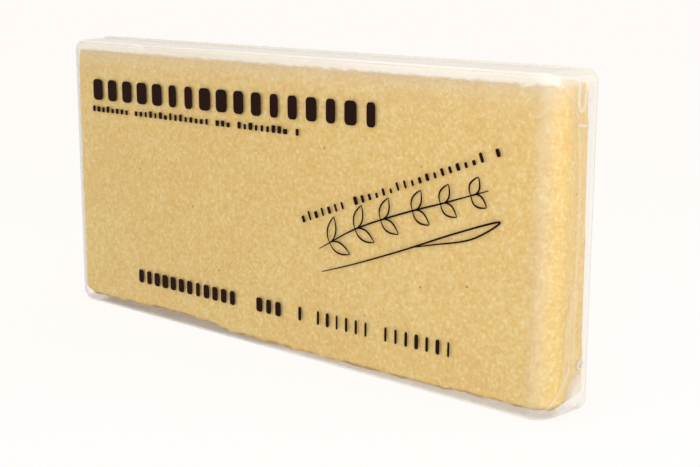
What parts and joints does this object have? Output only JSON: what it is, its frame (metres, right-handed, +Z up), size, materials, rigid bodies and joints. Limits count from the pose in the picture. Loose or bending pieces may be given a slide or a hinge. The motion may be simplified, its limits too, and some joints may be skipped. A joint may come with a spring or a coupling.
{
  "type": "packed nougat block",
  "caption": "Flat rectangular slab of soft almond nougat sealed in a clear thermoformed pack with a rim flange and a back film, standing on its long edge.",
  "frame": {"origin": "middle of the pack's footprint, on the level that it stands on", "axes": "+X along the slab's length, -Y out of the printed front face, +Z up along the slab's width as it stands"},
  "size_m": [0.2036, 0.0164, 0.0939],
  "materials": {
    "nougat": "matt, fine grained paste",
    "clear_tray": "glossy clear thermoformed sheet",
    "clear_film": "glossy clear lidding film"
  },
  "bodies": {
    "root": {"nougat_slab": "nougat", "clear_tray": "clear_tray", "back_film": "clear_film"}
  },
  "joints": []
}
